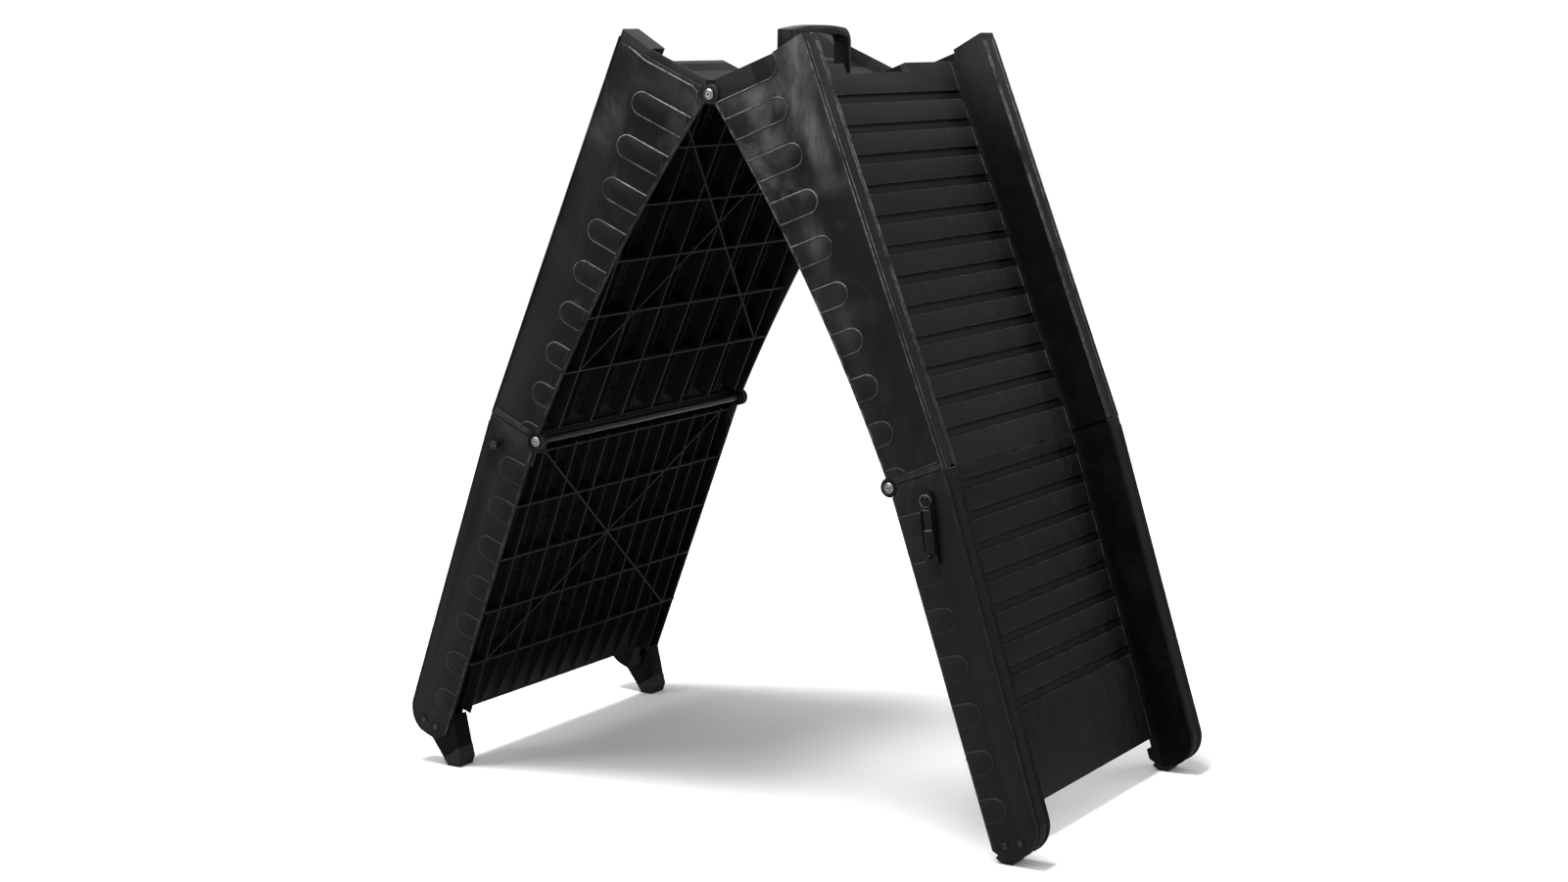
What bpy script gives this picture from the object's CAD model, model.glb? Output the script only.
"""Looks of the folding dog ramp: black moulded plastic sections, steel rods, rubber feet.

Every moulded section has its own frame, as it was drawn: u runs down the section from its
upper hinge pin, v runs out towards the walking face, and y runs across the ramp, in metres.
"""

from math import atan2, cos, pi, radians, sin

import bmesh
import bpy
from mathutils import Matrix, Vector


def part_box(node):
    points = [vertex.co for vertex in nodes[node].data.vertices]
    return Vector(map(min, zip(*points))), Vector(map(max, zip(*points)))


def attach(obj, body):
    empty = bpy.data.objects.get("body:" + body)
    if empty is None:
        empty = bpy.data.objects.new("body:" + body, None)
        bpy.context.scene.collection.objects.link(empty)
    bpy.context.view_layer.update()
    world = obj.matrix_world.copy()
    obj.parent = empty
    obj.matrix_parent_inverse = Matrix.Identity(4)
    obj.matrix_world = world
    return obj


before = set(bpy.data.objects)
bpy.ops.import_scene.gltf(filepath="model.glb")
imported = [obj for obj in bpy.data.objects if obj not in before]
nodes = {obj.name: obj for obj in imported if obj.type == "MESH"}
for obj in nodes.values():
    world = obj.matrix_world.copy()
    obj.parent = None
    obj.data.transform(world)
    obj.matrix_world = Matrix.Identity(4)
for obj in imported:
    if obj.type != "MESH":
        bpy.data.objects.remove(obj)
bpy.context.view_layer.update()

# ---- the ramp's own sizes, in metres and degrees ----
upper_length = 0.456
upper_depth = 0.130
lower_length = 0.403
lower_deck_length = 0.366
lower_depth = 0.0685
mid_bend = 3.9
rail_width = 0.032
rail_height = 0.045
finger_rise = 0.001
finger_width = 0.025
finger_pitch = 0.0508
first_finger = 0.045
upper_fingers, lower_fingers = 8, 7
upper_tip_setback = 0.0425
lower_tip_setback = 0.030
deck_thickness = 0.004
tread_rise = 0.003
tread_pitch = 0.0344
groove_width = 0.011
upper_grooves, lower_grooves = 12, 8
first_groove_upper = 0.0403
first_groove_lower = 0.0187
tread_side_gap = 0.007
upper_rib_level = 0.057
lower_rib_level = 0.005
pin_clearance = 0.0105
upper_edge_start = 0.003
upper_edge_bow = 0.011
lower_edge_start = 0.001
lower_edge_slope = 0.025
wall_thickness = 0.004

half_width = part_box("upper_left_panel")[1].y
skin = half_width - finger_rise
inner_skin = skin - wall_thickness
rail_inner = half_width - rail_width


def middle_of(node):
    """Centre of a CAD node's box."""
    low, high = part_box(node)
    return (low + high) / 2


class Section:
    """One moulded section and its frame."""

    def __init__(self, name, side, lower):
        self.name, self.side, self.lower = name, side, lower
        hand = "left" if side < 0 else "right"
        centre, middle = middle_of("centre_hinge_rod"), middle_of(f"mid_{hand}_hinge_rod")
        run = middle - centre
        lean = atan2(side * run.x, -run.z) - atan2(upper_depth - lower_depth, upper_length)
        if lower:
            lean -= radians(mid_bend)
            self.origin, self.depth, self.body = middle, lower_depth, f"{hand}_lower"
            self.first_groove, self.grooves = first_groove_lower, lower_grooves
            self.fingers, self.tip_setback = lower_fingers, lower_tip_setback
            self.rib_level = lower_rib_level
        else:
            self.origin, self.depth, self.body = centre, upper_depth, f"{hand}_upper"
            self.first_groove, self.grooves = first_groove_upper, upper_grooves
            self.fingers, self.tip_setback = upper_fingers, upper_tip_setback
            self.rib_level = upper_rib_level
        self.u = Vector((side * sin(lean), 0, -cos(lean)))
        self.v = Vector((side * cos(lean), 0, sin(lean)))
        self.panel = f"{'lower' if lower else 'upper'}_{hand}_panel"
        self.rail_foot = self.depth - rail_height
        self.deck_level = self.rail_foot - tread_rise
        self.under = self.deck_level - deck_thickness

    def at(self, u, v, y=0.0):
        """Point of the row frame at this section's u, v and y."""
        return self.origin + self.u * u + self.v * v + Vector((0, y, 0))

    def inner_edge(self, u):
        """Level of the side wall's inner edge; u may be a number or a shader value."""
        if self.lower:
            return lower_edge_start + lower_edge_slope * (u - pin_clearance)
        rise = upper_depth - lower_depth - upper_edge_start
        along = (u - pin_clearance) / (upper_length - 2 * pin_clearance)
        return upper_edge_start + rise * along + 4 * upper_edge_bow * along * (1 - along)


upper_left = Section("upper_left", -1, False)
upper_right = Section("upper_right", 1, False)
lower_left = Section("lower_left", -1, True)
lower_right = Section("lower_right", 1, True)
upper_sections = (upper_left, upper_right)
sections = (*upper_sections, lower_left, lower_right)
both_sides = ((-1, Vector((0, -1, 0))), (1, Vector((0, 1, 0))))

piece_sharp_angle = 40
cad_sharp_angle = 28
bead_steps = 6
least_mitre = 0.4


# ---- mesh helpers ----
def finish_piece(builder, name, body, material):
    """Turn a bmesh into a piece that rides on a body."""
    bmesh.ops.recalc_face_normals(builder, faces=builder.faces)
    mesh = bpy.data.meshes.new(name)
    builder.to_mesh(mesh)
    builder.free()
    piece = bpy.data.objects.new(name, mesh)
    bpy.context.scene.collection.objects.link(piece)
    mesh.shade_smooth()
    mesh.set_sharp_from_angle(angle=radians(piece_sharp_angle))
    mesh.materials.append(material)
    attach(piece, body)


def join_rings(builder, rings, closed=False):
    """Faces between rings of vertices, with end caps unless the last ring meets the first."""
    pairs = list(zip(rings, rings[1:]))
    if closed:
        pairs.append((rings[-1], rings[0]))
    for ring, following in pairs:
        for k in range(len(ring)):
            m = (k + 1) % len(ring)
            builder.faces.new((ring[k], ring[m], following[m], following[k]))
    if not closed:
        builder.faces.new(rings[0])
        builder.faces.new(list(reversed(rings[-1])))


def sweep(builder, path, profile, out, closed=False):
    """Sweep a closed profile of (sideways, outwards) points along a path, mitred at its corners."""
    rings = []
    count = len(path)
    for index, point in enumerate(path):
        before = path[index - 1] if index or closed else None
        after = path[(index + 1) % count] if index < count - 1 or closed else None
        come = (point - before).normalized() if before is not None else None
        go = (after - point).normalized() if after is not None else None
        way = ((come or go) + (go or come)).normalized()
        sideways = way.cross(out).normalized()
        square = (come or go).cross(out).normalized()
        stretch = 1 / max(least_mitre, sideways.dot(square))
        rings.append(
            [builder.verts.new(point + sideways * a * stretch + out * b) for a, b in profile]
        )
    join_rings(builder, rings, closed)


def bead(width, height, sink=0.0004):
    """Half-round profile that stands on a face, sunk a little into it."""
    points = [(-width / 2, -sink)]
    for step in range(bead_steps + 1):
        angle = pi * step / bead_steps
        points.append((-width / 2 * cos(angle), height * sin(angle)))
    points.append((width / 2, -sink))
    return points


# ---- shader maths ----
class Value:
    """A socket of a node tree, with sums and products written as expressions."""

    def __init__(self, shader, socket):
        self.shader, self.socket = shader, socket

    def _math(self, operation, *inputs):
        return self.shader.node(
            "ShaderNodeMath", {"operation": operation}, dict(enumerate(inputs))
        )

    def __add__(self, other):
        return self._math("ADD", self, other)

    __radd__ = __add__

    def __sub__(self, other):
        return self._math("SUBTRACT", self, other)

    def __rsub__(self, other):
        return self._math("SUBTRACT", other, self)

    def __mul__(self, other):
        return self._math("MULTIPLY", self, other)

    __rmul__ = __mul__

    def __truediv__(self, other):
        return self._math("DIVIDE", self, other)

    def over(self, limit):
        """1 where the value is above the limit."""
        return self._math("GREATER_THAN", self, limit)

    def size(self):
        return self._math("ABSOLUTE", self)

    def root(self):
        return self._math("SQRT", self)

    def fraction(self):
        return self._math("FRACT", self)

    def sine(self):
        return self._math("SINE", self)

    def ramp(self, low, high):
        """0 at low, 1 at high, smooth between."""
        settings = {"interpolation_type": "SMOOTHSTEP"}
        return self.shader.node(
            "ShaderNodeMapRange", settings, {"Value": self, "From Min": low, "From Max": high}
        )

    def fall(self, low, high):
        """1 at low, 0 at high, smooth between."""
        return 1 - self.ramp(low, high)

    def at_most(self, other):
        return self._math("MINIMUM", self, other)

    def at_least(self, other):
        return self._math("MAXIMUM", self, other)


class Shader:
    """A material's node tree."""

    def __init__(self, name):
        self.material = bpy.data.materials.new(name)
        self.material.use_nodes = True
        self.tree = self.material.node_tree
        self.tree.nodes.clear()
        place = self.tree.nodes.new("ShaderNodeTexCoord")
        self.place = Value(self, place.outputs["Object"])

    def node(self, kind, settings=None, inputs=None, output=0):
        """Add a node with its settings, then the values or links of its sockets."""
        made = self.tree.nodes.new(kind)
        for key, setting in (settings or {}).items():
            setattr(made, key, setting)
        for key, item in (inputs or {}).items():
            if isinstance(item, Value):
                self.tree.links.new(item.socket, made.inputs[key])
            else:
                made.inputs[key].default_value = item
        return Value(self, made.outputs[output])

    def noise(self, scale, detail, roughness=0.55, where=None, distortion=0.0):
        """Noise texture, from 0 to 1."""
        inputs = {
            "Vector": where or self.place,
            "Scale": scale,
            "Detail": detail,
            "Roughness": roughness,
            "Distortion": distortion,
        }
        return self.node("ShaderNodeTexNoise", None, inputs)

    def stretched(self, scales):
        """The place with each axis scaled."""
        return self.node(
            "ShaderNodeVectorMath", {"operation": "MULTIPLY"}, {0: self.place, 1: scales}
        )

    def dot(self, first, second):
        """Scalar product."""
        return self.node(
            "ShaderNodeVectorMath", {"operation": "DOT_PRODUCT"}, {0: first, 1: second}, output=1
        )

    def facing(self):
        """Surface normal."""
        return self.node("ShaderNodeNewGeometry", output=1)

    def along(self, direction, start):
        """Distance along a direction from a point."""
        return self.dot(self.place, tuple(direction)) - start.dot(direction)

    def mix(self, factor, first, second):
        """Colour mix."""
        return self.node(
            "ShaderNodeMix", {"data_type": "RGBA"}, {0: factor, 6: first, 7: second}, output=2
        )

    def blend(self, factor, first, second):
        """Mix of two surfaces."""
        return self.node("ShaderNodeMixShader", None, {0: factor, 1: first, 2: second})

    def bump(self, height, distance):
        """Normal that follows a height."""
        return self.node("ShaderNodeBump", None, {"Height": height, "Distance": distance})

    def surface(self, varying, constants):
        """Principled surface; constants are set on its own sockets."""
        return self.node("ShaderNodeBsdfPrincipled", None, {**constants, **varying})

    def use(self, surface):
        """Send a surface to the output, and give the finished material."""
        output = self.tree.nodes.new("ShaderNodeOutputMaterial")
        self.tree.links.new(surface.socket, output.inputs["Surface"])
        return self.material


def grey(level, blue=0.0):
    """Neutral colour, a little bluer where asked."""
    return (level, level, level * (1 + blue), 1)


black_plastic = grey(0.0026, 0.14)
dusty_plastic = grey(0.048, 0.06)
worn_plastic = grey(0.060, 0.04)
walked_upper, walked_lower = grey(0.0060, 0.12), grey(0.0036, 0.12)

# dust from handling: full down to the first place, gone at the second, its gain, and the rest
handling = {
    upper_left: (0.0, 0.30, 0.4, 0.04),
    upper_right: (0.06, 0.34, 0.7, 0.16),
    lower_left: (0.0, 0.12, 0.20, 0.05),
    lower_right: (0.0, 0.12, 0.20, 0.05),
}

# patches of dust on the upper right side walls: place down and out, reach of each, strength
dust_patches = (
    (0.030, 0.100, 0.060, 0.030, 1.7),
    (0.090, 0.106, 0.070, 0.020, 1.5),
    (-0.010, 0.118, 0.040, 0.024, 1.6),
    (0.012, 0.050, 0.040, 0.050, 0.8),
    (0.080, 0.055, 0.045, 0.030, 0.6),
    (0.190, 0.070, 0.050, 0.020, 0.5),
    (0.290, 0.075, 0.050, 0.020, 0.35),
)
seam_band_start, seam_band_end = 0.4480, 0.4488
worn_edge_radius = 0.0016
chip_start, chip_end = 0.0010, 0.0034


def patch(u, v, place_u, place_v, reach_u, reach_v):
    """Soft round patch on a side wall."""
    along, out = (u - place_u) * (1 / reach_u), (v - place_v) * (1 / reach_v)
    return (along * along + out * out).root().fall(0.1, 1.0)


def side_dust(shader, section, u, v, outside):
    """Dust and rub marks, most of them on the outer walls near the centre hinge."""
    clouds = shader.noise(9.0, 5.0, 0.62, distortion=0.8).ramp(0.50, 0.72)
    smears = shader.noise(26.0, 6.0, 0.7, shader.stretched((1.0, 1.0, 0.35))).ramp(0.47, 0.75)
    specks = shader.noise(420.0, 2.0).ramp(0.66, 0.74)
    full, gone, gain, rest = handling[section]
    handled = u.fall(full, gone) * gain + rest
    dust = (clouds * 0.75 + smears * 0.45) * handled * (outside * 0.8 + 0.2) + specks * 0.05
    if section is upper_right:
        streaks = shader.noise(34.0, 6.0, 0.7, shader.stretched((1.6, 1.0, 0.6))).ramp(0.30, 0.75)
        for *place, strength in dust_patches:
            dust = dust + patch(u, v, *place) * outside * (streaks * 0.8 + 0.2) * (0.8 * strength)
    if not section.lower:
        band = u.ramp(seam_band_start, seam_band_end) * v.ramp(0.068, 0.080)
        dust = dust + band * outside * (smears * 0.2 + 0.12)
    return dust


def worn_edges(shader, section, u, v, outside):
    """Rubbed corners, and chips along the side wall's inner edge."""
    rounded = shader.node("ShaderNodeBevel", {"samples": 6}, {"Radius": worn_edge_radius})
    sharpness = 1 - shader.dot(rounded, shader.facing())
    rubbed = sharpness.ramp(0.02, 0.16) * shader.noise(60.0, 4.0).ramp(0.30, 0.62)
    lift = v - section.inner_edge(u)
    chips = lift.fall(chip_start, chip_end) * outside * shader.noise(95.0, 5.0).ramp(0.42, 0.58)
    return rubbed.at_least(chips * (1.9 if section is upper_right else 0.5)).at_most(1.6)


def walking_side(shader, section, u, v, across, edge, scuffs, grain):
    """Dull scuffed treads and rail tops, with a dark line under each tread's lower edge."""
    start = section.first_groove - groove_width / 2
    end = section.first_groove + tread_pitch * (section.grooves - 1) + groove_width / 2
    step = ((u - start) * (1 / tread_pitch)).fraction() * tread_pitch
    in_channel = across.fall(rail_inner - 0.0075, rail_inner - 0.0068) * v.fall(
        section.deck_level + 0.0040, section.deck_level + 0.0045
    )
    shade = step.fall(0.0018, 0.0044) * in_channel * u.over(start) * (1 - u.over(end))
    marks, black = scuffs * 0.20, walked_lower
    if not section.lower:
        marks, black = marks + u.fall(0.0, 0.16) * 0.35, walked_upper
    colour = shader.mix(marks, black, grey(0.024, 0.1))
    colour = shader.mix(edge * 0.6, colour, worn_plastic)
    return shader.surface(
        {
            "Base Color": shader.mix(shade, colour, grey(0.0003)),
            "Roughness": 0.60 + scuffs * 0.1,
            "Normal": shader.bump(grain, 0.00006),
        },
        {"Specular IOR Level": 0.03},
    )


def moulded_plastic(section):
    """Black polypropylene: satin outer walls, dull walking side, matte hollows."""
    shader = Shader(f"moulded_plastic_{section.name}")
    u = shader.along(section.u, section.origin)
    v = shader.along(section.v, section.origin)
    across = shader.node("ShaderNodeSeparateXYZ", None, {0: shader.place}, output=1).size()
    outside = across.ramp(skin - 0.0012, skin - 0.0004)
    dust = side_dust(shader, section, u, v, outside)
    edge = worn_edges(shader, section, u, v, outside)
    scuffs = shader.noise(30.0, 6.0, 0.7, shader.stretched((1.0, 3.0, 1.0))).ramp(0.40, 0.75)
    grain = shader.noise(2600.0, 2.0) * 0.5 + shader.noise(900.0, 2.0) * 0.5
    normal = shader.bump(grain * 0.05 + shader.noise(14.0, 2.0, 0.4), 0.0009)

    colour = shader.mix(dust.at_most(1.0), black_plastic, dusty_plastic)
    satin = shader.surface(
        {
            "Base Color": shader.mix(edge * 0.55, colour, worn_plastic),
            "Roughness": 0.36 + dust * 0.22 + shader.noise(70.0, 4.0) * 0.10,
            "Normal": normal,
        },
        {"Specular IOR Level": 0.07 if section.side > 0 else 0.055},
    )
    walked = walking_side(shader, section, u, v, across, edge, scuffs, grain)
    unlit = shader.surface(
        {
            "Base Color": shader.mix(scuffs, grey(0.0004), grey(0.0016)),
            "Roughness": 0.65 + scuffs * 0.1,
        },
        {"Specular IOR Level": 0.012},
    )
    rib_edge = v.fall(section.rib_level + 0.0003, section.rib_level + 0.0012)
    matte = shader.surface(
        {
            "Base Color": shader.mix(rib_edge, grey(0.0034, 0.1), grey(0.0110, 0.1)),
            "Roughness": 0.62 + grain * 0.1,
            "Normal": normal,
        },
        {"Specular IOR Level": 0.03},
    )

    # the rails' inner walls are unlit, and the deck beside the treads is half matte
    inner_wall = across.fall(rail_inner + 0.0010, rail_inner + 0.0016) * v.ramp(
        section.deck_level + 0.0035, section.deck_level + 0.0045
    )
    gloom = inner_wall if section.lower else inner_wall * (u.ramp(-0.02, 0.16) * 0.8 + 0.2)
    beside = across.ramp(rail_inner - 0.0072, rail_inner - 0.0066) * v.fall(
        section.deck_level + 0.001, section.deck_level + 0.012
    )
    hollow = across.fall(inner_skin - 0.001, inner_skin + 0.0005) * v.fall(
        section.under - 0.001, section.under + 0.0005
    )
    sides = shader.blend(gloom * 0.8, shader.blend(outside, walked, satin), unlit)
    return shader.use(shader.blend(hollow.at_least(beside * 0.5 * (1 - outside)), sides, matte))


def trim_plastic():
    """Harder black plastic of the handle, latch and drop feet."""
    shader = Shader("trim_plastic")
    marks = shader.noise(45.0, 5.0, 0.65).ramp(0.52, 0.78)
    grain = shader.noise(1800.0, 2.0)
    colour = shader.mix(marks * 0.4, grey(0.0028, 0.1), grey(0.020, 0.06))
    return shader.use(
        shader.surface(
            {
                "Base Color": colour,
                "Roughness": 0.34 + marks * 0.2,
                "Normal": shader.bump(grain, 0.00005),
            },
            {"Specular IOR Level": 0.06},
        )
    )


foot_ridge_pitch = 0.0021
upwards = Vector((0, 0, 1))


def foot_plastic():
    """Ribbed black plastic of the drop feet."""
    shader = Shader("foot_plastic")
    level = shader.along(upwards, Vector())
    ridges = (level * (2 * pi / foot_ridge_pitch)).sine()
    dust = shader.noise(90.0, 5.0, 0.65).ramp(0.50, 0.78)
    colour = shader.mix(ridges.ramp(0.1, 0.9) * 0.5 + dust * 0.3, grey(0.0010), grey(0.0085, 0.1))
    return shader.use(
        shader.surface(
            {
                "Base Color": colour,
                "Roughness": 0.5 + dust * 0.2,
                "Normal": shader.bump(ridges, 0.0003),
            },
            {"Specular IOR Level": 0.02},
        )
    )


def foot_rubber():
    """Dull black rubber, dusty."""
    shader = Shader("foot_rubber")
    dust = shader.noise(120.0, 6.0, 0.7).ramp(0.42, 0.75)
    grain = shader.noise(1300.0, 3.0)
    return shader.use(
        shader.surface(
            {
                "Base Color": shader.mix(dust * 0.6, grey(0.006), grey(0.03)),
                "Roughness": 0.72 + dust * 0.15,
                "Normal": shader.bump(grain, 0.00012),
            },
            {"Specular IOR Level": 0.08},
        )
    )


def dull_black():
    """Dirt-filled creases that stay dark."""
    shader = Shader("dull_black")
    dirt = shader.noise(300.0, 3.0).ramp(0.3, 0.7)
    return shader.use(
        shader.surface(
            {
                "Base Color": shader.mix(dirt, grey(0.0004), grey(0.0015)),
                "Roughness": 0.85 + dirt * 0.1,
            },
            {"Specular IOR Level": 0.0},
        )
    )


def rubbed_plastic(name, low, high):
    """Raised lines, rubbed pale where they face up: as much as low below, as high above."""
    shader = Shader(name)
    higher = shader.along(upwards, Vector()).ramp(0.30, 0.78)
    upward = shader.dot(shader.facing(), tuple(upwards))
    rubbed = shader.noise(24.0, 5.0, 0.65).ramp(0.34, 0.60) * (higher * (high - low) + low)
    rubbed = rubbed * (upward.ramp(-0.25, 0.55) * 0.85 + 0.15)
    fine = shader.noise(160.0, 3.0).ramp(0.35, 0.65)
    return shader.use(
        shader.surface(
            {
                "Base Color": shader.mix(
                    rubbed * (fine * 0.6 + 0.4), grey(0.005, 0.1), grey(0.130, 0.04)
                ),
                "Roughness": 0.44 + fine * 0.1,
            },
            {"Specular IOR Level": 0.09},
        )
    )


def zinc_steel(name, level, roughness, dark):
    """Plated steel, mottled down to a dark share of its level, and finely scratched."""
    shader = Shader(name)
    mottle = shader.noise(260.0, 5.0, 0.6).ramp(0.35, 0.70)
    scratches = shader.noise(900.0, 2.0, 0.5, shader.stretched((1.0, 6.0, 1.0)))
    return shader.use(
        shader.surface(
            {
                "Base Color": shader.mix(mottle, grey(level * dark), grey(level)),
                "Roughness": roughness + mottle * 0.18,
                "Normal": shader.bump(scratches, 0.00004),
            },
            {"Metallic": 1.0},
        )
    )


plastic = {section.name: moulded_plastic(section) for section in sections}
trim = trim_plastic()
rubber = foot_rubber()
pin_steel = zinc_steel("pin_steel", 0.34, 0.42, 0.40)
screw_steel = zinc_steel("screw_steel", 0.035, 0.45, 0.35)
foot = foot_plastic()
rim_plastic = rubbed_plastic("rubbed_rims", 0.08, 0.95)
lip_plastic = rubbed_plastic("rubbed_lips", 0.10, 1.0)
latch_mark = rubbed_plastic("rubbed_latch", 0.9, 0.9)
burr_plastic = rubbed_plastic("rubbed_burrs", 0.55, 0.95)
shadow_black = dull_black()

finish_of = {
    "carry_handle": trim,
    "latch_arm": trim,
    "drop_feet": foot,
    "drop_foot_tips": rubber,
    "rubber_feet": rubber,
    "left_foot_screws": screw_steel,
    "right_foot_screws": screw_steel,
    "latch_pivot_screw": trim,
    "latch_park_stud": screw_steel,
    "latch_catch_stud": screw_steel,
    "centre_rod_sleeves": trim,
    "mid_left_rod_collars": trim,
    "mid_right_rod_collars": trim,
    "centre_hinge_rod": trim,
    "mid_left_hinge_rod": trim,
    "mid_right_hinge_rod": trim,
}
finish_of.update({section.panel: plastic[section.name] for section in sections})


def round_edges(node, width):
    """Rounded edges on a CAD piece, as modifiers on flat faces joined again."""
    weld = node.modifiers.new("join", "WELD")
    weld.merge_threshold = 0.00001
    plane = node.modifiers.new("flats", "DECIMATE")
    plane.decimate_type = "DISSOLVE"
    plane.angle_limit = radians(0.6)
    bevel = node.modifiers.new("edges", "BEVEL")
    bevel.limit_method = "ANGLE"
    bevel.angle_limit = radians(32)
    bevel.width = width
    bevel.segments = 2
    bevel.use_clamp_overlap = True
    bevel.harden_normals = True


# width of the rounding, by CAD node
edge_rounding = {"carry_handle": 0.0022, "latch_arm": 0.0006, "drop_feet": 0.0010}
edge_rounding.update({section.panel: 0.0007 for section in sections})
for name, node in nodes.items():
    node.data.materials.clear()
    node.data.materials.append(finish_of.get(name, pin_steel))
    node.data.shade_smooth()
    node.data.set_sharp_from_angle(angle=radians(cad_sharp_angle))
    if name in edge_rounding:
        round_edges(node, edge_rounding[name])


# ---- raised outlines round the fingers ----
rim_y = skin + 0.0003
line_y = skin + 0.0002
crease_y = skin + 0.0001
finger_radius = finger_width / 2
rim_bead = {True: bead(0.0016, 0.0006), False: bead(0.0022, 0.0010)}
ridge_bead = bead(0.0020, 0.0009)
finger_steps = 12


def finger_outline(section, u, y):
    """U-shaped path round one finger, open at the inner edge."""
    start, end = u - finger_radius, u + finger_radius
    centre = section.depth - section.tip_setback - finger_radius
    path = [section.at(start, section.inner_edge(start) + 0.002, y)]
    for step in range(finger_steps + 1):
        angle = pi - pi * step / finger_steps
        around = finger_radius * cos(angle), finger_radius * sin(angle)
        path.append(section.at(u + around[0], centre + around[1], y))
    path.append(section.at(end, section.inner_edge(end) + 0.002, y))
    return path


for section in sections:
    builder = bmesh.new()
    for hand, outwards in both_sides:
        for number in range(section.fingers):
            path = finger_outline(section, first_finger + number * finger_pitch, hand * rim_y)
            sweep(builder, path, rim_bead[section.lower], outwards)
    finish_piece(
        builder, f"{section.name}_finger_rims", section.body, rim_plastic
    )

# ---- pale burrs along the far ends of the treads ----
burr_bead = bead(0.0011, 0.0004)
burr_y = rail_inner - tread_side_gap
burr_inset = 0.003
least_burr = 0.004
for section in sections:
    stop = lower_deck_length if section.lower else upper_length
    edges = [burr_inset]
    for number in range(section.grooves):
        groove = section.first_groove + number * tread_pitch
        edges += [groove - groove_width / 2, groove + groove_width / 2]
    edges.append(stop - burr_inset)
    builder = bmesh.new()
    for hand, _ in both_sides:
        for start, end in zip(edges[::2], edges[1::2]):
            if end - start > least_burr:
                path = [section.at(u, section.rail_foot, hand * burr_y) for u in (start, end)]
                sweep(builder, path, burr_bead, section.v)
    finish_piece(builder, f"{section.name}_tread_burrs", section.body, burr_plastic)

# ---- raised ridge that follows each upper section's end ----
end_ridges = {
    upper_left: ((-0.004, 0.114), (0.001, 0.088), (0.001, 0.022), (0.004, 0.014), (0.012, 0.011)),
    upper_right: (
        (0.0122, 0.008),
        (0.0122, 0.076),
        (0.0110, 0.0825),
        (0.0075, 0.0878),
        (0.0025, 0.0908),
        (-0.0030, 0.0913),
        (-0.0120, 0.0913),
    ),
}
for section, places in end_ridges.items():
    builder = bmesh.new()
    for hand, outwards in both_sides:
        path = [section.at(u, v, hand * line_y) for u, v in places]
        sweep(builder, path, ridge_bead, outwards)
    finish_piece(builder, f"{section.name}_end_ridges", section.body, rim_plastic)

# ---- at each middle seam: a raised line, the last finger's tip, and dark creases ----
seam_line = ((0.4490, 0.0745), (0.4478, 0.100), (0.4465, 0.1265))
seam_bead = bead(0.0018, 0.0008)
last_finger = first_finger + upper_fingers * finger_pitch
last_tip = upper_depth - upper_tip_setback - finger_radius
last_side = 0.010
last_steps = 5
crease_u, crease_low, crease_high = 0.4550, 0.0725, 0.1270
crease_bead = bead(0.0011, 0.0002)
slot_u, slot_inset, slot_length = 0.4540, 0.003, 0.010
slot_bead = bead(0.0026, 0.0002)
cover_u, cover_overlap = 0.4552, 0.002
cover_bead = bead(0.0050, 0.0005)
for section in upper_sections:
    builder = bmesh.new()
    for hand, outwards in both_sides:
        y = hand * line_y
        sweep(builder, [section.at(u, v, y) for u, v in seam_line], seam_bead, outwards)
        arc = [section.at(last_finger - finger_radius, last_tip - last_side, y)]
        for step in range(last_steps + 1):
            angle = pi - pi / 2 * step / last_steps
            around = finger_radius * cos(angle), finger_radius * sin(angle)
            arc.append(section.at(last_finger + around[0], last_tip + around[1], y))
        sweep(builder, arc, ridge_bead, outwards)
    finish_piece(builder, f"{section.name}_seam_lines", section.body, rim_plastic)
    builder = bmesh.new()
    for hand, outwards in both_sides:
        crease = [section.at(crease_u, v, hand * crease_y) for v in (crease_low, crease_high)]
        sweep(builder, crease, crease_bead, outwards)
        slot_ends = (rail_inner + slot_inset, rail_inner + slot_inset + slot_length)
        slot = [section.at(slot_u, upper_depth, hand * place) for place in slot_ends]
        sweep(builder, slot, slot_bead, section.v)
        # strip over the slit in the rail's inner wall
        cover_y = hand * (rail_inner + 0.0003)
        levels = (section.rail_foot - cover_overlap, upper_depth - cover_overlap)
        sweep(builder, [section.at(cover_u, v, cover_y) for v in levels], cover_bead, -outwards)
    finish_piece(
        builder, f"{section.name}_seam_creases", section.body, shadow_black
    )

# ---- latch: ring round its pivot, cross lines, and dark lines along its sides ----
pivot_u, pivot_v = 0.022, 0.042
latch_reach = 0.066
latch_turn = radians(9.9)
latch_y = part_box("latch_arm")[0].y
latch_out = Vector((0, -1, 0))
latch_ring_radius = 0.0062
latch_ring_bead = bead(0.0013, 0.0008)
cross_half_length = 0.0036
cross_places = (0.145, 0.47)
cross_bead = bead(0.0015, 0.0008)
# dark lines: distance from the latch's middle line, and where each starts and ends
latch_lines = ((-0.0064, 0.16, 0.78), (0.0064, 0.02, 0.84), (0.0008, 0.84, 0.90))
latch_line_bead = bead(0.0014, 0.0003)
ring_steps = 20
ring_angles = [2 * pi * step / ring_steps for step in range(ring_steps)]


def on_latch(along, aside):
    """Point of the latch's outer face, from its pivot."""
    down, out = cos(latch_turn), sin(latch_turn)
    return lower_right.at(
        pivot_u + along * down + aside * out, pivot_v - along * out + aside * down, latch_y
    )


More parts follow.
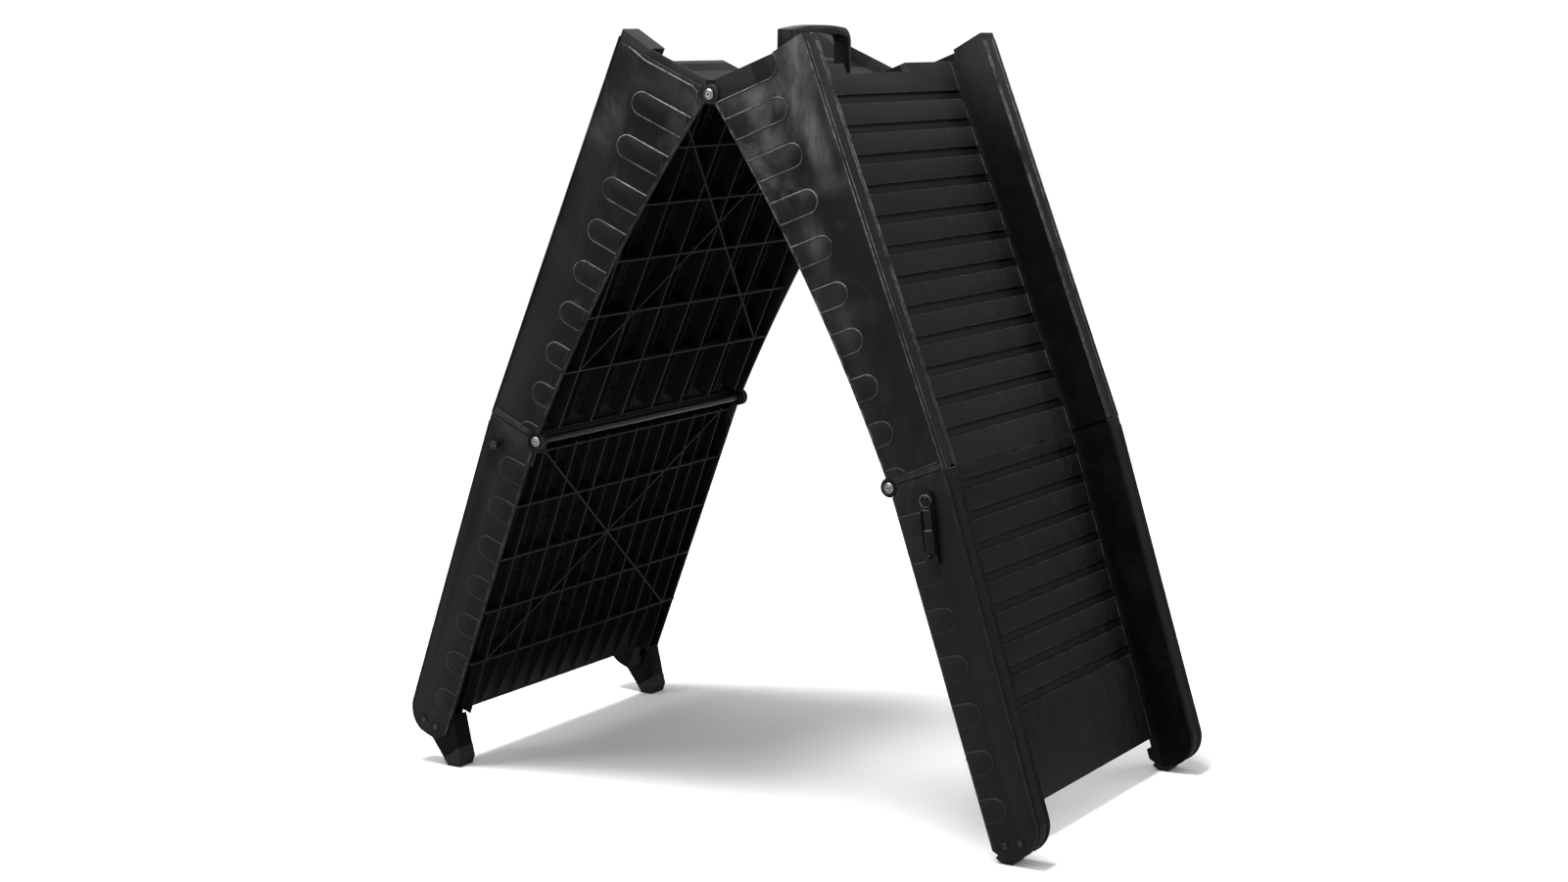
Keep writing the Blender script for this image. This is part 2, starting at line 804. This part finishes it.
builder = bmesh.new()
ring = [
    on_latch(latch_ring_radius * cos(angle), latch_ring_radius * sin(angle))
    for angle in ring_angles
]
sweep(builder, ring, latch_ring_bead, latch_out, closed=True)
for place in cross_places:
    cross_ends = (-cross_half_length, cross_half_length)
    line = [on_latch(place * latch_reach, aside) for aside in cross_ends]
    sweep(builder, line, cross_bead, latch_out)
finish_piece(builder, "latch_marks", "latch", latch_mark)
builder = bmesh.new()
for aside, *ends in latch_lines:
    line = [on_latch(place * latch_reach, aside) for place in ends]
    sweep(builder, line, latch_line_bead, latch_out)
finish_piece(builder, "latch_grooves", "latch", shadow_black)

# ---- turned rings on each rod head: share of the head's radius, and width ----
head_rings = ((0.70, 0.0010), (0.16, 0.0012))
for heads, body, pin in (
    ("centre_rod_heads", "right_upper", upper_right.origin),
    ("mid_left_rod_heads", "left_upper", lower_left.origin),
    ("mid_right_rod_heads", "right_upper", lower_right.origin),
):
    low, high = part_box(heads)
    head_radius = (high.z - low.z) / 2
    builder = bmesh.new()
    for (_, outwards), face_y in zip(both_sides, (low.y, high.y)):
        centre = Vector((pin.x, face_y, pin.z))
        for share, width in head_rings:
            radius = head_radius * share
            ring = [centre + Vector((cos(angle), 0, sin(angle))) * radius for angle in ring_angles]
            sweep(builder, ring, bead(width, 0.0004, 0.0003), outwards, closed=True)
    finish_piece(builder, f"{heads}_rings", body, screw_steel)

# ---- raised lips along the rail tops ----
lip_insets = (0.0014, 0.0080, rail_width - 0.0060, rail_width - 0.0018)
upper_lip_ends = (-0.010, upper_length - 0.002)
lower_lip_start = 0.004
lip_bend_radius = 0.032
lip_bend = radians(75)
lip_bend_steps = 8


def lip_path(section, y):
    """Places along a lip and the way it faces there; lower sections' lips bend down at the end."""
    if not section.lower:
        return [(section.at(u, section.depth, y), section.v) for u in upper_lip_ends]
    path = [(section.at(lower_lip_start, section.depth, y), section.v)]
    centre_u, centre_v = lower_length - lip_bend_radius, section.depth - lip_bend_radius
    for step in range(lip_bend_steps + 1):
        angle = pi / 2 - lip_bend * step / lip_bend_steps
        around = lip_bend_radius * cos(angle), lip_bend_radius * sin(angle)
        out = section.u * cos(angle) + section.v * sin(angle)
        path.append((section.at(centre_u + around[0], centre_v + around[1], y), out))
    return path


across_ramp = Vector((0, 1, 0))
for section in sections:
    builder = bmesh.new()
    for hand, _ in both_sides:
        for inset in lip_insets:
            rings = []
            for point, out in lip_path(section, hand * (half_width - inset)):
                ring = [point + across_ramp * a + out * b for a, b in ridge_bead]
                rings.append([builder.verts.new(place) for place in ring])
            join_rings(builder, rings)
    finish_piece(
        builder,
        f"{section.name}_rail_lips",
        section.body,
        plastic[section.name] if section.lower else lip_plastic,
    )


# ---- floor, light and camera ----
floor_reach = 30.0
world_strength = 1.04


def stage_floor():
    """Pale studio floor, a little darker near the ramp."""
    mesh = bpy.data.meshes.new("floor")
    reach = floor_reach
    mesh.from_pydata(
        [(-reach, -reach, 0), (reach, -reach, 0), (reach, reach, 0), (-reach, reach, 0)],
        [],
        [(0, 1, 2, 3)],
    )
    floor = bpy.data.objects.new("floor", mesh)
    bpy.context.scene.collection.objects.link(floor)
    shader = Shader("pale_floor")
    from_ramp = shader.node(
        "ShaderNodeVectorMath", {"operation": "LENGTH"}, {0: shader.place}, output=1
    )
    tone = from_ramp.ramp(0.6, 3.2) + shader.noise(1.2, 2.0) * 0.02
    colour = shader.mix(tone, grey(0.60), grey(0.97))
    surface = shader.surface({"Base Color": colour}, {"Roughness": 0.9, "Specular IOR Level": 0.1})
    mesh.materials.append(shader.use(surface))


def soft_light(name, place, size, power, target=(0.0, 0.0, 0.4)):
    """Square soft box that looks at the ramp."""
    data = bpy.data.lights.new(name, "AREA")
    data.shape, data.size, data.energy = "SQUARE", size, power
    light = bpy.data.objects.new(name, data)
    light.location = place
    light.rotation_euler = (Vector(target) - Vector(place)).to_track_quat("-Z", "Y").to_euler()
    bpy.context.scene.collection.objects.link(light)


stage_floor()
soft_light("overhead", (-0.35, -0.35, 2.8), 0.8, 210)
soft_light("front_left", (-2.4, -2.4, 1.8), 0.8, 42)
soft_light("back_right", (2.6, 2.6, 1.7), 0.8, 30)

world = bpy.data.worlds.new("studio")
world.use_nodes = True
background = world.node_tree.nodes["Background"]
background.inputs["Color"].default_value = (1, 1, 1, 1)
background.inputs["Strength"].default_value = world_strength
bpy.context.scene.world = world
bpy.context.scene.view_settings.view_transform = "Standard"

camera_place = Vector((1.5361, -2.4758, 0.8379))
yaw, pitch, roll = radians(32.161), radians(-8.781), radians(-0.675)
forward = Vector((-sin(yaw) * cos(pitch), cos(yaw) * cos(pitch), sin(pitch)))
level_right = Vector((cos(yaw), sin(yaw), 0))
level_up = level_right.cross(forward)
right = level_right * cos(roll) + level_up * sin(roll)
up = level_up * cos(roll) - level_right * sin(roll)
lens = bpy.data.cameras.new("camera")
lens.sensor_width = 36.0
lens.lens = 58.39
camera = bpy.data.objects.new("camera", lens)
turn = Matrix((right, up, -forward)).transposed().to_4x4()
camera.matrix_world = Matrix.Translation(camera_place) @ turn
bpy.context.scene.collection.objects.link(camera)
bpy.context.scene.camera = camera
